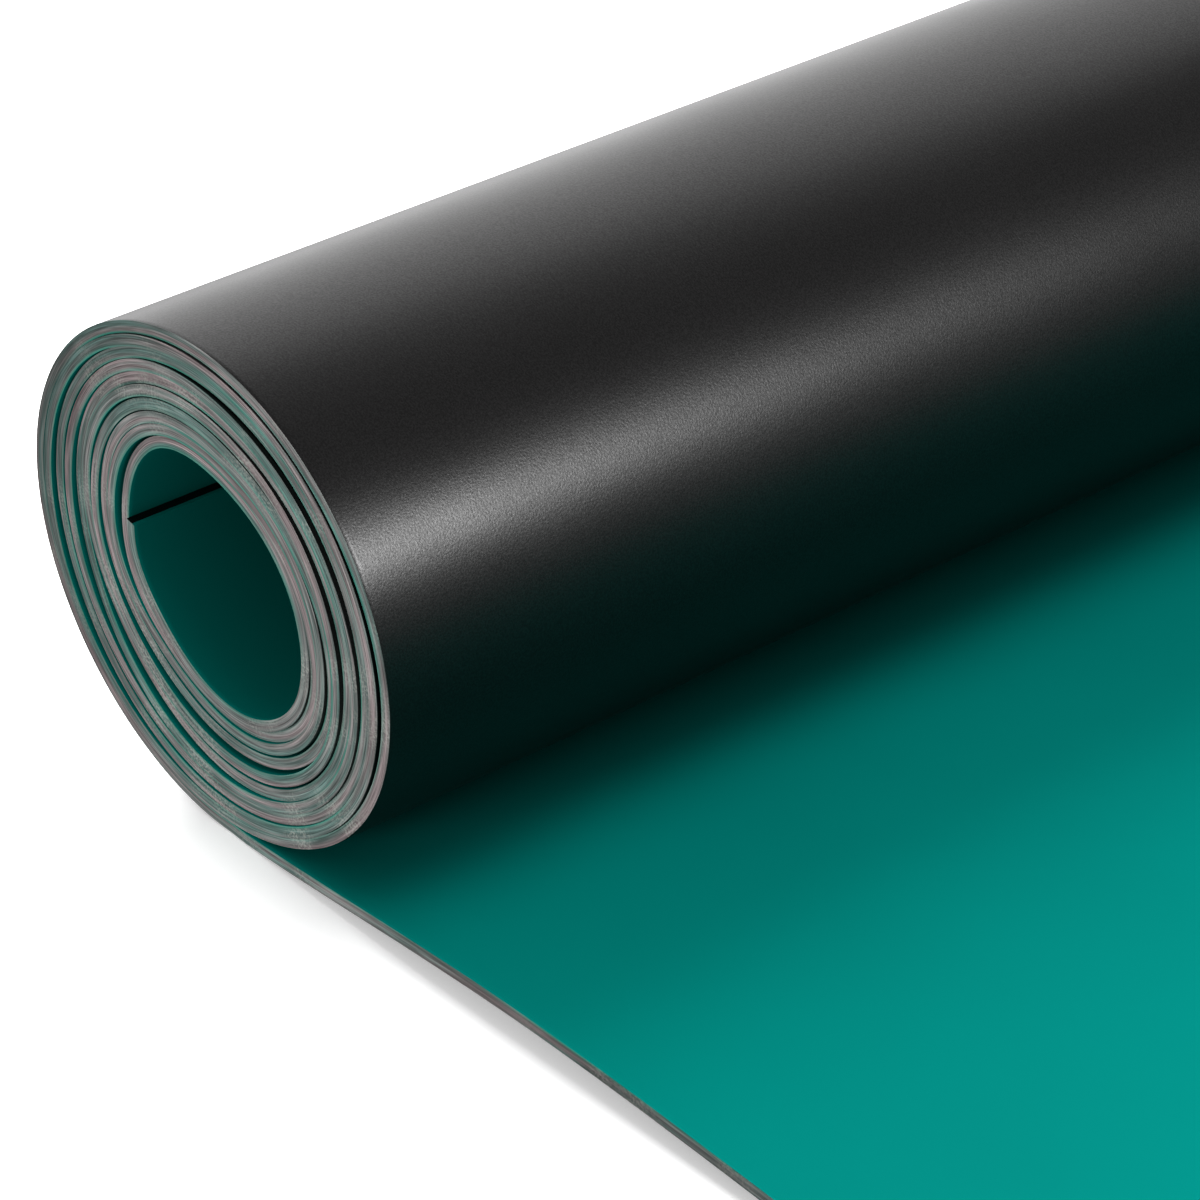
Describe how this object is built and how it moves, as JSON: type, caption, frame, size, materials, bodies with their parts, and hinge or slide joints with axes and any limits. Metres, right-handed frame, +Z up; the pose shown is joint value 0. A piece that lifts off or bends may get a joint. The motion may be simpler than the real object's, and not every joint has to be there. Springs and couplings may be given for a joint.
{
  "type": "anti static bench mat",
  "caption": "Anti static rubber bench mat, green on a black base, mostly wound in a roll with its outer end laid out flat on the bench.",
  "frame": {"origin": "on the bench, under the middle of the whole shape's bounding box", "axes": "+Y along the roll's axis, with the camera's end at -Y; +X the way the laid-out end runs from the roll; +Z up"},
  "size_m": [0.3326, 0.6, 0.0902],
  "materials": {
    "black_rubber": "satin, finely grained",
    "green_rubber": "satin, smooth"
  },
  "bodies": {
    "root": {"conductive_base_layer": "black_rubber", "dissipative_top_layer": "green_rubber"}
  },
  "joints": []
}
